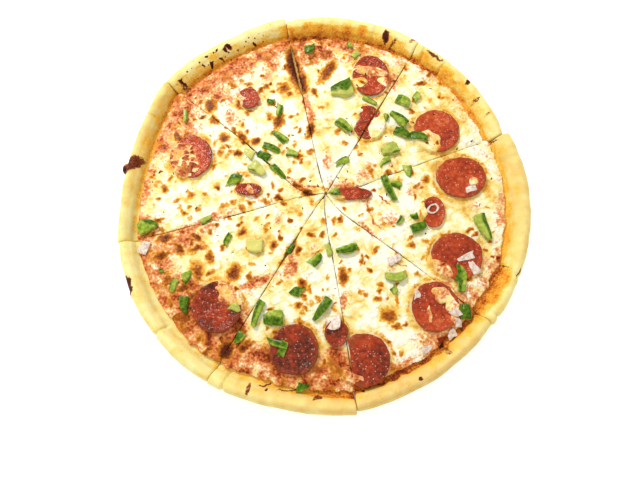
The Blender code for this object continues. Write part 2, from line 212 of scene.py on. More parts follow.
# Folds and pinches in the rim: from x, y to x, y, how wide and how deep
FOLDS = (
    (-157, 75, -148, 72, 1.0, 1.0),
    (-136, -122, -125, -112, 1.2, 1.6),
    (-79, -163, -72, -147, 1.1, 1.6),
    (162, -72, 148, -66, 2.0, 1.8),
    (131, -98, 146, -106, 1.4, 1.4),
    (96, 142, 86, 120, 1.6, 1.8),
    (112, 124, 98, 112, 1.6, 1.6),
    (104, -132, 96, -124, 1.6, 1.6),
    (52, 166, 47, 152, 2.0, 0.8),
    (-28, 172, -24, 158, 2.4, 0.8),
    (168, 34, 152, 30, 2.6, 0.8),
    (-66, -160, -60, -150, 2.0, 0.7),
)
# Scorch marks on the rim: x, y, length, width, turn and how dark
SCORCHES = (
    (-166, 26, 23, 11, 32, 0.66), (-173, 23, 8, 6, 30, 0.9), (-158, -79, 15, 8, 115, 0.8),
    (-57, -160, 9, 4, 68, 0.5), (-43, -161, 3, 2, 20, 0.7), (-4, -167, 8, 4, 0, 0.5),
    (60, 155, 9, 7, 80, 0.85), (75, 159, 3, 2, 160, 0.8), (132, 106, 6, 3.6, 50, 0.85),
    (138, 88, 7, 4, 34, 0.45), (103, 133, 20, 1.8, 140, 0.6), (162, -69, 8, 1.5, 67, 0.95),
    (77, -152, 3, 2.6, 40, 0.8), (33, -162, 2.6, 2, 10, 0.8), (-86, 144, 6, 4, 160, 0.95),
    (-89, 141, 6, 2.4, 70, 0.8), (-101, 127, 4, 2.4, 60, 0.9), (-108, 124, 5, 1.6, 140, 0.8),
    (-126, 107, 7, 3, 160, 0.85), (-122, 102, 12, 6, 139, 0.45), (-118, 95, 10, 3, 130, 0.5),
    (-47, 149, 5, 4, 20, 0.9), (-42, 151, 4, 2, 40, 0.8), (-63, 149, 4, 1.6, 160, 0.85),
    (-92, 133, 6, 1.6, 160, 0.7), (-95, 138, 3, 1.6, 60, 0.8), (-104, 132, 3, 2, 20, 0.8),
    (99, -130, 12, 6, 120, 0.35), (147, 74, 6, 3, 30, 0.4), (96, -126, 8, 5, 60, 0.8),
    (150, -62, 14, 1.4, 155, 0.5), (153, 50, 9, 1.6, 20, 0.6), (-44, -158, 16, 1.2, 12, 0.6),
    (-24, -161, 24, 1.2, 6, 0.6), (66, 148, 14, 3, 40, 0.45), (84, 148, 10, 3, 35, 0.4),
)  # fmt: skip
# Around the rim: angle, how far the stain reaches up its inner side, how tan it is (partly painted shade,
# most on the side nearest the camera), how brown its inner foot is (sauce stain and partly painted
# shade), and how thick the burnt flecks lie
RIM_TONES = (
    (0, 0.15, 0.55, 0.4, 0.1), (18, 0.25, 0.55, 0.45, 0.1), (20, 0.3, 0.25, 0.6, 0.1),
    (35, 0.35, 0.25, 0.6, 0.2), (45, 0.7, 0.25, 0.8, 0.2), (56, 0.6, 0.2, 0.8, 0.2),
    (61, 0.5, 0.1, 0.8, 0.2), (68, 0.7, 0.1, 0.85, 0.2), (80, 0.85, 0.1, 0.9, 0.2),
    (92, 0.9, 0.15, 0.9, 0.2), (102, 0.75, 0.15, 0.8, 0.2), (104, 0.25, 0.0, 0.55, 0.3),
    (115, 0.35, 0.0, 0.6, 0.9), (126, 0.45, 0.05, 0.65, 1.0), (138, 0.5, 0.15, 0.75, 1.0),
    (144, 0.4, 0.45, 0.65, 0.2), (160, 0.35, 0.6, 0.55, 0.1), (172, 0.25, 0.5, 0.45, 0.1),
    (185, 0.05, 0.25, 0.3, 0.0), (195, 0.0, 0.05, 0.1, 0.0), (215, 0.0, 0.05, 0.05, 0.0),
    (238, 0.0, 0.15, 0.1, 0.0), (255, 0.1, 0.5, 0.4, 0.0), (268, 0.25, 0.55, 0.65, 0.1),
    (277, 0.25, 0.65, 0.85, 0.1), (290, 0.3, 0.8, 0.95, 0.1), (305, 0.4, 0.8, 0.95, 0.1),
    (319, 0.4, 0.5, 0.9, 0.1), (322, 0.9, 0.15, 0.85, 0.1), (335, 0.85, 0.15, 0.8, 0.1),
    (342, 0.2, 0.5, 0.5, 0.1), (360, 0.15, 0.55, 0.4, 0.1),
)  # fmt: skip
# How many random heights the uneven surfaces have along each side before they repeat
GRID = 128


def ripple(x, y, length, seed):
    """Smooth, uneven heights from -1 to 1, with humps about this long."""
    grid = np.random.default_rng(seed).uniform(-1.0, 1.0, (GRID, GRID))
    turn = 0.7 * seed
    u = (x * math.cos(turn) - y * math.sin(turn)) / length
    v = (x * math.sin(turn) + y * math.cos(turn)) / length
    i, j = np.floor(u).astype(int), np.floor(v).astype(int)
    fu, fv = u - i, v - j
    fu, fv = fu**3 * (fu * (fu * 6.0 - 15.0) + 10.0), fv**3 * (fv * (fv * 6.0 - 15.0) + 10.0)
    i, j, next_i, next_j = i % GRID, j % GRID, (i + 1) % GRID, (j + 1) % GRID
    low = grid[i, j] * (1.0 - fu) + grid[next_i, j] * fu
    high = grid[i, next_j] * (1.0 - fu) + grid[next_i, next_j] * fu
    return low * (1.0 - fv) + high * fv


def step(low, high, value):
    """0 at low and 1 at high, with an even S between, for arrays."""
    share = np.clip((value - low) / (high - low), 0.0, 1.0)
    return share * share * (3.0 - 2.0 * share)


def stirred(x, y, reach, length, seed):
    """The same places pushed about unevenly, so that marks read there get ragged outlines."""
    return x + reach * ripple(x, y, length, seed), y + reach * ripple(x, y, length, seed + 1)


def spots(x, y, marks, soft=0.45):
    """The strongest of these oval marks at each point: x, y, length, width, turn and strength."""
    found = np.zeros_like(x)
    for middle_x, middle_y, length, width, turn, strength in marks:
        near = np.abs(x - middle_x) + np.abs(y - middle_y) < 1.6 * max(length, width)
        dx, dy = x[near] - middle_x, y[near] - middle_y
        c, s = math.cos(math.radians(turn)), math.sin(math.radians(turn))
        away = np.hypot((dx * c + dy * s) * 2.0 / length, (dy * c - dx * s) * 2.0 / width)
        found[near] = np.maximum(found[near], strength * step(1.0 + soft, 1.0 - soft, away))
    return found


def beside(x, y, start_x, start_y, end_x, end_y):
    """How far each point is from the straight line between two places."""
    along = np.array((end_x - start_x, end_y - start_y))
    share = ((x - start_x) * along[0] + (y - start_y) * along[1]) / (along @ along)
    share = np.clip(share, 0.0, 1.0)
    return np.hypot(x - start_x - along[0] * share, y - start_y - along[1] * share)


def select_only(obj):
    """Deselects everything else and makes this object active."""
    bpy.ops.object.select_all(action="DESELECT")
    obj.select_set(True)
    bpy.context.view_layer.objects.active = obj


def fine_copy(node, name, cell, smoothing):
    """The CAD node's shape as an even, smoothed mesh of small cells."""
    obj = bpy.data.objects.new(name, frame["nodes"][node].data.copy())
    bpy.context.scene.collection.objects.link(obj)
    obj.data.materials.clear()
    select_only(obj)
    bpy.ops.object.mode_set(mode="EDIT")
    bpy.ops.mesh.select_all(action="SELECT")
    bpy.ops.mesh.remove_doubles(threshold=1e-6)
    bpy.ops.object.mode_set(mode="OBJECT")
    remesh = obj.modifiers.new("even_cells", "REMESH")
    remesh.mode = "VOXEL"
    remesh.voxel_size = cell
    remesh.use_smooth_shade = True
    bpy.ops.object.modifier_apply(modifier=remesh.name)
    even = obj.modifiers.new("softened", "SMOOTH")
    even.factor = 0.5
    even.iterations = smoothing
    bpy.ops.object.modifier_apply(modifier=even.name)
    return obj


def points_of(obj):
    """The object's points on the pizza, in millimetres, as columns x, y and z."""
    flat = np.empty(len(obj.data.vertices) * 3, np.float32)
    obj.data.vertices.foreach_get("co", flat)
    return flat.reshape(-1, 3).astype(float) / MM - np.array(PAN_TO_OUTLINE)


def normals_of(obj):
    """The object's outward directions at its points."""
    flat = np.empty(len(obj.data.vertices) * 3, np.float32)
    obj.data.vertices.foreach_get("normal", flat)
    return flat.reshape(-1, 3).astype(float)


def set_points(obj, points):
    """Puts the object's points at these places on the pizza."""
    metres = (points + np.array(PAN_TO_OUTLINE)) * MM
    obj.data.vertices.foreach_set("co", metres.astype(np.float32).ravel())
    obj.data.update()


def mark(obj, name, values):
    """Keeps one number for each point of the object, which its material reads by this name."""
    layer = obj.data.attributes.new(name, "FLOAT", "POINT")
    layer.data.foreach_set("value", np.asarray(values, np.float32))


def closed_tip(x, y):
    """How far each point near the middle moves inwards, so that the eight tips touch there."""
    to_middle = np.stack((CUT_CENTRE[0] - x, CUT_CENTRE[1] - y), 1)
    away = np.hypot(to_middle[:, 0], to_middle[:, 1])
    return to_middle * (TIP_REACH * step(9.0, 2.0, away) / np.maximum(away, 1.0))[:, None]


def baked_dough():
    """Baked wheat dough: dry and matt, pale gold to tan, orange where fat soaked in, black-brown scorches;
    part of its tan and of the brown at the rim's inner foot is painted shade.
    """
    material = new_material("baked_wheat_dough", 0.62, 0.15)
    where = add_node(material, "ShaderNodeTexCoord").outputs["Object"]
    stained_and_shaded, scorched, flecked, tan_and_shade = (
        add_node(material, "ShaderNodeAttribute", attribute_name=name).outputs["Fac"]
        for name in ("stained_and_shaded", "scorched", "flecked", "tan_and_shade")
    )
    patch = add_node(material, "ShaderNodeTexNoise", {"Vector": where, "Scale": 110.0, "Detail": 4.0})
    fine = add_node(material, "ShaderNodeTexNoise", {"Vector": where, "Scale": 650.0, "Detail": 3.0})
    tone = add_node(material, "ShaderNodeMath", {0: patch, 1: 0.9, 2: -0.35}, operation="MULTIPLY_ADD")
    tone = add_node(material, "ShaderNodeMath", {0: tan_and_shade, 1: 0.55, 2: tone}, operation="MULTIPLY_ADD")
    stops = ((0.0, "#FCEFA6"), (0.25, "#F8E08A"), (0.55, "#E9C374"), (0.95, "#C08A3C"))
    crust = add_node(material, "ShaderNodeValToRGB", {"Fac": tone}, stops)
    uneven = add_node(material, "ShaderNodeMath", {0: fine, 1: 0.9, 2: -0.45}, operation="MULTIPLY_ADD")
    soaked_and_shaded = add_node(material, "ShaderNodeMath", {0: patch, 1: 0.9, 2: -0.45}, operation="MULTIPLY_ADD")
    soaked_and_shaded = add_node(material, "ShaderNodeMath", {0: soaked_and_shaded, 1: stained_and_shaded}, operation="ADD")
    soaked_and_shaded = add_node(material, "ShaderNodeMath", {0: soaked_and_shaded, 1: uneven}, operation="ADD")
    stops = ((0.12, "#FAD660"), (0.42, "#F8BE42"), (0.66, "#EE9C2E"), (0.86, "#C86A1C"), (1.0, "#8A3A10"))
    stain_and_shade = add_node(material, "ShaderNodeValToRGB", {"Fac": soaked_and_shaded}, stops)
    spread = add_node(material, "ShaderNodeMapRange", {"Value": soaked_and_shaded, "From Min": 0.06, "From Max": 0.34})
    colour = add_node(material, "ShaderNodeMixRGB", {"Fac": spread, "Color1": crust, "Color2": stain_and_shade})
    cells = add_node(material, "ShaderNodeTexVoronoi", {"Vector": where, "Scale": 300.0})
    fleck = add_node(material, "ShaderNodeMapRange", {"Value": cells, "From Min": 0.42, "From Max": 0.12})
    shade = cells.outputs["Color"]
    rare = add_node(material, "ShaderNodeMath", {0: shade, 1: 0.62}, operation="GREATER_THAN")
    fleck = add_node(material, "ShaderNodeMath", {0: fleck, 1: rare}, operation="MULTIPLY")
    fleck = add_node(material, "ShaderNodeMath", {0: fleck, 1: flecked}, operation="MULTIPLY")
    burn = add_node(material, "ShaderNodeMath", {0: fleck, 1: 0.7, 2: scorched}, operation="MULTIPLY_ADD")
    burn = add_node(material, "ShaderNodeMath", {0: burn, 1: uneven}, operation="ADD")
    stops = ((0.22, "#C98030"), (0.45, "#8A4316"), (0.72, "#562009"), (1.0, "#2A0E05"))
    browned = add_node(material, "ShaderNodeValToRGB", {"Fac": burn}, stops)
    black = add_node(material, "ShaderNodeMapRange", {"Value": burn, "From Min": 0.20, "From Max": 0.45})
    final = add_node(material, "ShaderNodeMixRGB", {"Fac": black, "Color1": colour, "Color2": browned})
    finish_with(material, final, fine, 0.35, 0.0008)
    return material


dough_finish = baked_dough()
rim_angles, rim_stain, rim_tan_and_shade, rim_foot_stain_and_shade, rim_flecks = np.array(RIM_TONES, float).T
for index in SLICES:
    dough = fine_copy(f"crust_{index}", f"dough_{index}", DOUGH_CELL, 6)
    spot = points_of(dough)
    facing = normals_of(dough)
    x, y, z = spot.T
    out = np.hypot(x, y)
    angle = np.degrees(np.arctan2(y, x)) % 360.0
    inward = -(facing[:, 0] * x + facing[:, 1] * y) / out
    across = np.abs(facing[:, 0] * y - facing[:, 1] * x) / out
    rim = step(154.0, 162.0, out) * step(0.3, 4.0, z)
    swell = np.zeros_like(x)
    for seed, (length, height) in enumerate(DOUGH_LUMPS, start=40 * index):
        swell += height * ripple(angle * RIM_PER_DEGREE, z + (out - RIM_MIDDLE), length, seed)
    for fold in FOLDS:
        away = beside(x, y, *fold[:4])
        swell -= fold[5] * np.exp(-((away / fold[4]) ** 2))
    moved = facing * (swell * rim * (1.0 - step(0.5, 0.9, across)))[:, None]
    moved[:, :2] += facing[:, :2] * CUT_GAP_CLOSED + closed_tip(x, y)
    set_points(dough, spot + moved)
    ragged_x, ragged_y = stirred(*stirred(x, y, 1.1, 5.0, 11), 0.6, 2.0, 13)
    reach = np.interp(angle, rim_angles, rim_stain)
    # The inner foot of the rim, where it meets the cheese: its brown is sauce stain and partly painted shade.
    foot = step(10.8, 7.6, z + 1.5 * ripple(x, y, 6.0, 6)) * step(-0.25, 0.05, inward)
    stain_and_shade = reach * step(0.75 - 0.75 * reach, 1.05 - 0.35 * reach, inward + 0.30 * ripple(x, y, 7.0, 5))
    stain_and_shade = np.maximum(0.75 * stain_and_shade, np.interp(angle, rim_angles, rim_foot_stain_and_shade) * foot)
    mark(dough, "stained_and_shaded", stain_and_shade * step(5.0, 6.0, z))
    mark(dough, "scorched", spots(ragged_x, ragged_y, SCORCHES, 0.40) * step(1.0, 4.0, z))
    flecks = np.interp(angle, rim_angles, rim_flecks) * step(-0.45, 0.2, inward + 0.3 * ripple(x, y, 9.0, 7))
    mark(dough, "flecked", flecks)
    # Part of the tan is painted shade, strongest on the side nearest the camera; the underside and lower
    # flank are tanner too.
    underneath = step(2.5, 0.4, z) + 0.35 * step(8.0, 3.0, z)
    mark(dough, "tan_and_shade", np.interp(angle, rim_angles, rim_tan_and_shade) + 0.6 * underneath)
    dough.data.materials.append(dough_finish)
    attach(dough, "root")
    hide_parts(f"crust_{index}")

# The sauce of each slice: cooked tomato puree with herbs, ladled on thin.
# It shows at the cuts and at the foot of the rim, wet and lumpy.
SAUCE_CELL = 1.3 * MM


def tomato_sauce():
    """Tomato puree: wet, orange red, with dark baked patches and pale milky ones where cheese ran in."""
    material = new_material("baked_tomato_sauce", 0.35, 0.3)
    where = add_node(material, "ShaderNodeTexCoord").outputs["Object"]
    pools = add_node(material, "ShaderNodeTexNoise", {"Vector": where, "Scale": 170.0, "Detail": 5.0})
    stops = ((0.30, "#6A1C08"), (0.42, "#A03A14"), (0.52, "#C8602A"), (0.62, "#E29A58"), (0.74, "#F1D09A"))
    colour = add_node(material, "ShaderNodeValToRGB", {"Fac": pools}, stops)
    finish_with(material, colour, pools, 0.5, 0.0012)
    return material


sauce_finish = tomato_sauce()
for index in SLICES:
    sauce = fine_copy(f"sauce_{index}", f"tomato_sauce_{index}", SAUCE_CELL, 1)
    spot = points_of(sauce)
    facing = normals_of(sauce)
    x, y, z = spot.T
    spot[:, 2] += 0.40 * ripple(x, y, 4.0, 3) * step(6.6, 7.2, z)
    spot[:, :2] += facing[:, :2] * 0.5 + closed_tip(x, y)
    set_points(sauce, spot)
    sauce.data.materials.append(sauce_finish)
    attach(sauce, "root")
    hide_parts(f"sauce_{index}")

# The cheese of each slice: grated mozzarella, melted until its shreds ran together.
# Its highest bubbles are toasted brown, and the same brown is painted down its walls and into a few
# gaps at the cuts as shade. Its hollows and creases are painted yellower as shade, and fat lies yellow
# around the pepperoni. By the rim it is so thin that the sauce shows through, and one deep red patch at
# the foot of the rim is painted shade. It has run over parts of some pepperoni.
CHEESE_CELL = 1.15 * MM
CHEESE_HIGHEST = 11.4
# Around the pizza: angle, how far out the sauce starts to show, how strongly, and how toasted it is
THIN_RING = (
    (0, 144, 0.7, 0.3), (18, 140, 0.75, 0.4), (22, 146, 0.55, 0.5), (35, 146, 0.6, 0.6),
    (50, 144, 0.75, 0.8), (58, 140, 0.65, 0.6), (62, 144, 0.5, 0.6), (75, 130, 0.8, 0.85),
    (90, 124, 0.85, 0.8), (98, 126, 0.95, 1.0), (103, 138, 0.8, 0.5), (110, 126, 0.85, 0.45),
    (125, 122, 0.85, 0.4), (140, 128, 0.9, 0.6), (148, 128, 0.85, 0.7), (160, 126, 0.85, 0.6),
    (172, 140, 0.7, 0.5), (185, 142, 0.75, 0.5), (195, 138, 0.8, 0.6), (205, 134, 0.8, 0.75),
    (215, 126, 0.85, 0.9), (228, 112, 0.95, 1.0), (237, 106, 1.0, 1.0), (244, 124, 0.85, 0.95),
    (254, 132, 0.85, 0.7), (264, 138, 0.9, 0.5), (276, 122, 0.9, 0.6), (280, 144, 0.9, 0.3),
    (295, 146, 0.8, 0.35), (308, 142, 0.85, 0.6), (318, 138, 0.9, 0.5), (324, 138, 0.85, 0.4),
    (340, 146, 0.8, 0.3), (360, 144, 0.7, 0.3),
)  # fmt: skip
# Places further in where the sauce shows: x, y, length, width, turn and how strongly. The first, at the
# foot of the rim, is made extra strong to paint the deep red-brown shade there.
THIN_AND_SHADED_PATCHES = (
    (98, -124, 18, 12, 40, 1.15), (150, -56, 12, 8, 60, 0.9), (151, 52, 16, 8, 110, 0.9),
    (-48, -74, 34, 10, 22, 0.55), (-21, 9, 34, 8, 151, 0.6), (-86, -18, 30, 9, 20, 0.6),
    (-25, -58, 26, 6, 73, 0.6), (25, 4, 40, 13, 154, 0.75), (-60, 3, 16, 8, 149, 0.8),
    (-12, 84, 44, 8, 105, 0.75), (-80, 76, 26, 14, 130, 0.5), (80, 5, 14, 10, 40, 0.6),
    (58, -60, 14, 8, 92, 0.5), (101, -60, 20, 8, 30, 0.8), (106, -112, 16, 16, 0, 0.8),
    (-6, -131, 8, 26, 10, 0.5), (18, -92, 5, 22, 0, 0.5), (-110, -30, 40, 12, 15, 0.7),
    (-72, -112, 30, 10, 140, 0.8), (6, 34, 10, 22, 10, 0.4), (-36, -20, 12, 6, 60, 0.5),
    (-22, 128, 40, 8, 99, 1.0), (38, 20, 20, 10, 60, 0.6), (60, -22, 22, 12, 20, 0.5),
    (132, -10, 12, 14, 0, 0.5), (40, -30, 26, 5, 140, 0.6), (-64, 92, 30, 20, 150, 0.5),
    (-90, 100, 30, 14, 140, 0.55), (-130, 66, 26, 16, 60, 0.7), (64, 110, 14, 22, 20, 0.7),
    (60, 28, 12, 6, 20, 0.4), (98, -84, 26, 14, 60, 0.6), (-122, -42, 46, 22, 12, 0.65),
    (-25, -64, 18, 13, 60, 0.75), (-4, -50, 20, 12, 30, 0.4), (-52, -75, 28, 9, 22, 0.9),
)  # fmt: skip
# Toasted bubbles that stand out: x, y, length, width, turn and how dark. The marks at (-13, 3), in the
# pocket where the cuts meet, and at (-26, -48), along a cut, are partly painted shade in those gaps.
TOASTED_AND_GAP_SHADE = (
    (55, -103, 13, 10, 158, 0.8), (18, -71, 14, 6, 93, 0.85), (-9, 62, 16, 7, 80, 0.95),
    (-73, -68, 14, 9, 67, 0.85), (-103, -67, 18, 10, 108, 0.75), (-117, 23, 9, 6, 165, 0.7),
    (-120, -48, 10, 7, 114, 0.85), (-104, -47, 15, 6, 19, 0.8), (-93, -54, 11, 7, 107, 0.75),
    (-114, -81, 9, 7, 28, 0.85), (-100, 86, 13, 10, 74, 0.85), (-106, -38, 12, 5, 144, 0.9),
    (-81, 107, 10, 6, 167, 0.65), (-67, 108, 9, 4, 3, 0.6), (-55, 101, 7, 6, 21, 0.75),
    (-34, 103, 12, 9, 47, 0.7), (-47, 75, 7, 5, 139, 0.6), (-38, 70, 14, 8, 74, 0.85),
    (-87, 54, 8, 7, 15, 0.9), (-71, 55, 12, 6, 134, 0.8), (-58, 51, 8, 6, 25, 0.9),
    (-73, 39, 8, 6, 176, 0.85), (-89, 40, 7, 4, 127, 0.6), (-82, 46, 7, 4, 152, 0.55),
    (-21, 36, 6, 5, 27, 0.8), (-42, 59, 6, 4, 33, 0.8), (-1, 84, 6, 4, 161, 0.55), (-6, 99, 8, 4, 98, 0.8),
    (-107, 74, 7, 4, 13, 0.95), (-136, 6, 8, 6, 128, 0.7), (-132, 16, 6, 4, 93, 0.6),
    (-139, -22, 8, 5, 14, 0.7), (-140, -3, 5, 4, 0, 0.65), (-94, 26, 6, 4, 44, 0.6),
    (-120, 58, 5, 4, 23, 0.75), (-40, -44, 7, 6, 82, 0.9), (-67, -32, 7, 5, 40, 0.8),
    (-47, -30, 9, 4, 91, 0.6), (-36, -2, 7, 5, 178, 0.85), (-68, -12, 8, 4, 131, 0.6),
    (-83, -46, 6, 4, 29, 0.8), (-110, -42, 6, 4, 103, 0.8), (-142, -34, 6, 4, 16, 0.7),
    (-123, -93, 8, 5, 96, 0.7), (-19, -95, 8, 6, 39, 0.7), (-9, -35, 7, 4, 1, 0.8),
    (90, 15, 8, 7, 24, 0.75), (82, 9, 8, 4, 38, 0.6), (86, 7, 6, 3, 21, 0.6), (91, 108, 11, 4, 9, 0.8),
    (99, 117, 8, 4, 62, 0.7), (107, 95, 5, 4, 84, 0.85), (43, 22, 12, 5, 103, 0.6),
    (112, 109, 11, 5, 3, 0.8), (46, -48, 8, 4, 51, 0.6), (33, -57, 10, 3, 87, 0.7),
    (45, -89, 7, 5, 8, 0.65), (47, -82, 5, 4, 78, 0.6), (62, -91, 9, 3, 106, 0.5),
    (61, -112, 8, 4, 161, 0.6), (75, -38, 6, 4, 54, 0.6), (10, -23, 7, 4, 75, 0.5),
    (11, -143, 9, 4, 110, 0.6), (1, -35, 5, 4, 155, 0.75), (-99, 98, 6, 4, 30, 0.6),
    (-109, 89, 5, 4, 75, 0.7), (-71, 66, 6, 4, 86, 0.6), (-62, 28, 5, 4, 84, 0.75),
    (-80, 40, 5, 4, 27, 0.6), (-75, 85, 8, 4, 154, 0.65), (-45, 86, 7, 4, 176, 0.7),
    (-124, -5, 5, 4, 1, 0.6), (-112, 0, 6, 5, 30, 0.65), (-49, -5, 8, 4, 169, 0.65),
    (-33, -59, 6, 4, 52, 0.55), (78, 21, 6, 5, 30, 0.65), (20, 48, 5, 4, 80, 0.55),
    (27, 10, 6, 3, 100, 0.5), (104, -36, 9, 5, 20, 0.6), (-30, -143, 10, 6, 40, 0.7),
    (-62, -128, 12, 8, 50, 0.85), (6, 122, 26, 9, 58, 0.8), (-25, 124, 40, 11, 103, 1.2),
    (-96, 70, 10, 6, 150, 0.7), (-18, 108, 20, 9, 100, 1.1), (-13, 3, 11, 6, 145, 1.0),
    (-21, 9, 13, 4, 145, 0.85), (-77, -131, 16, 12, 60, 1.1), (-26, -48, 15, 4, 58, 1.0),
    (-126, 53, 9, 6, 120, 0.9), (-134, -53, 13, 7, 15, 0.85), (-132, -38, 15, 7, 20, 0.85),
    (-16, -77, 7, 9, 20, 0.8), (-137, -85, 12, 8, 60, 0.45), (-127, -68, 9, 7, 0, 0.5),
    (-112, -113, 14, 6, 130, 0.5), (-96, -121, 16, 7, 140, 0.5), (-93, -133, 12, 6, 60, 0.75),
    (-4, -51, 8, 3, 60, 0.7),
)  # fmt: skip
# How many small toasted bubbles each slice has
SMALL_BUBBLES = (26, 26, 70, 74, 64, 66, 36, 34)
RUN_OVER_RISE = 3.4
# Where the cheese ran over a pepperoni: x, y, length, width, turn and how much red shows through it
RUN_OVER = (
    (-122, 31, 30, 38, 15, 0.9), (-75, 90, 11, 24, 10, 0.45), (45, 119, 38, 11, 172, 0.65),
    (62, 106, 14, 24, 70, 0.25), (31, 107, 14, 24, 95, 0.1), (56, 64, 50, 25, 62, 0.12),
    (28, 72, 34, 12, 62, 0.1), (93, 48, 27, 26, 30, 0.25), (131, 12, 9, 8, 20, 0.5),
    (86, -13, 7, 20, 0, 0.3), (98, -66, 27, 18, 140, 0.6), (107, -98, 13, 30, 15, 0.3),
    (-72, -82, 38, 28, 132, 0.55), (-61, 4, 6, 14, 30, 0.2), (16, -4, 18, 6, 150, 0.4),
    (36, 104, 9, 7, 40, 0.1), (98, -85, 17, 15, 0, 0.15), (88, -102, 4, 18, 8, 0.5),
    (24, -152, 26, 12, 150, 0.5),
)  # fmt: skip
# Lines where one lump of cheese folded against the next: from x, y to x, y
CRACKS = (
    (40, 4, 41, -13), (41, -13, 44, -24), (44, -24, 54, -31), (50, 0, 60, -9), (80, -80, 90, -85),
    (90, -85, 91, -93), (158, 44, 160, 26), (96, -62, 102, -60), (-12, 8, 6, 6), (60, -58, 72, -62),
)
# Thick white lumps that melted least: x, y, length, width, turn and height
WHITE_LUMP_RISE = 1.6
WHITE_LUMPS = (
    (129, 55, 17, 12, 100, 1.0), (88, 118, 26, 12, 15, 0.7), (70, -10, 24, 16, 30, 0.5),
    (60, 130, 14, 10, 20, 0.5), (30, -30, 26, 18, 60, 0.4), (-30, -150, 14, 10, 30, 0.5),
)
# The pepperoni discs: x, y, width and depth
DISCS = (
    (-66, 92, 20, 20), (-114, 35, 36, 40), (45, 115, 34, 41), (42, 68, 29, 33), (102, 60, 41, 41),
    (121, 16, 43, 38), (95.5, -15.5, 20, 28), (113, -54, 43, 40), (92, -96, 39, 41), (34, -138, 41, 42),
    (12, -117, 19, 23), (-22, -130, 40, 40), (-85, -96, 41, 42), (26, 1, 34, 11), (-63, 5, 22, 11),
)  # fmt: skip


def melted_cheese():
    """Melted mozzarella: cream, greasy, yellower in hollows as painted shade and where fat ran, brown where
    toasted and, as painted shade, in gaps.
    """
    material = new_material("melted_mozzarella", 0.34, 0.13)
    where = add_node(material, "ShaderNodeTexCoord").outputs["Object"]
    toasted_and_gap_shade, fat_and_hollow_shade, thin_and_shaded = (
        add_node(material, "ShaderNodeAttribute", attribute_name=name).outputs["Fac"]
        for name in ("toasted_and_gap_shade", "fat_and_hollow_shade", "thin_and_shaded")
    )
    curd = add_node(material, "ShaderNodeTexNoise", {"Vector": where, "Scale": 120.0, "Detail": 4.0})
    shred = add_node(material, "ShaderNodeTexNoise", {"Vector": where, "Scale": 480.0, "Detail": 3.0})
    uneven = add_node(material, "ShaderNodeMath", {0: shred, 1: 1.0, 2: -0.5}, operation="MULTIPLY_ADD")
    pool = add_node(material, "ShaderNodeTexNoise", {"Vector": where, "Scale": 45.0, "Detail": 2.0})
    body = add_node(material, "ShaderNodeMath", {0: fat_and_hollow_shade, 1: -0.34, 2: curd}, operation="MULTIPLY_ADD")
    body = add_node(material, "ShaderNodeMath", {0: uneven, 1: 0.22, 2: body}, operation="MULTIPLY_ADD")
    pool = add_node(material, "ShaderNodeMath", {0: pool, 1: 0.9, 2: -0.45}, operation="MULTIPLY_ADD")
    body = add_node(material, "ShaderNodeMath", {0: body, 1: pool}, operation="ADD")
    stops = ((0.08, "#E2A848"), (0.22, "#F4CE6E"), (0.36, "#FAE698"), (0.48, "#FCF2BE"), (0.60, "#FDFAE4"))
    cream = add_node(material, "ShaderNodeValToRGB", {"Fac": body}, stops)
    veil_and_shade = add_node(material, "ShaderNodeMath", {0: curd, 1: 0.9, 2: -0.45}, operation="MULTIPLY_ADD")
    veil_and_shade = add_node(material, "ShaderNodeMath", {0: veil_and_shade, 1: thin_and_shaded}, operation="ADD")
    veil_and_shade = add_node(material, "ShaderNodeMath", {0: veil_and_shade, 1: uneven}, operation="ADD")
    stops = ((0.25, "#F4D29A"), (0.41, "#EEB078"), (0.60, "#DC8446"), (0.82, "#B4501C"), (1.0, "#742404"))
    through = add_node(material, "ShaderNodeValToRGB", {"Fac": veil_and_shade}, stops)
    shown = add_node(material, "ShaderNodeMapRange", {"Value": veil_and_shade, "From Min": 0.20, "From Max": 0.42})
    colour = add_node(material, "ShaderNodeMixRGB", {"Fac": shown, "Color1": cream, "Color2": through})
    heat_and_shade = add_node(material, "ShaderNodeMath", {0: uneven, 1: 0.8, 2: toasted_and_gap_shade}, operation="MULTIPLY_ADD")
    stops = ((0.08, "#F8DC78"), (0.24, "#F0B440"), (0.43, "#D88A26"), (0.66, "#A45410"), (0.96, "#541E04"))
    brown = add_node(material, "ShaderNodeValToRGB", {"Fac": heat_and_shade}, stops)
    held = add_node(material, "ShaderNodeMath", {0: thin_and_shaded, 1: -0.35, 2: heat_and_shade}, operation="MULTIPLY_ADD")
    crisp_and_shade = add_node(material, "ShaderNodeMapRange", {"Value": held, "From Min": 0.04, "From Max": 0.30})
    touched = add_node(material, "ShaderNodeMapRange", {"Value": toasted_and_gap_shade, "From Min": 0.01, "From Max": 0.15})
    crisp_and_shade = add_node(material, "ShaderNodeMath", {0: crisp_and_shade, 1: touched}, operation="MULTIPLY")
    final = add_node(material, "ShaderNodeMixRGB", {"Fac": crisp_and_shade, "Color1": colour, "Color2": brown})
    finish_with(material, final, shred, 0.6, 0.0009)
    return material


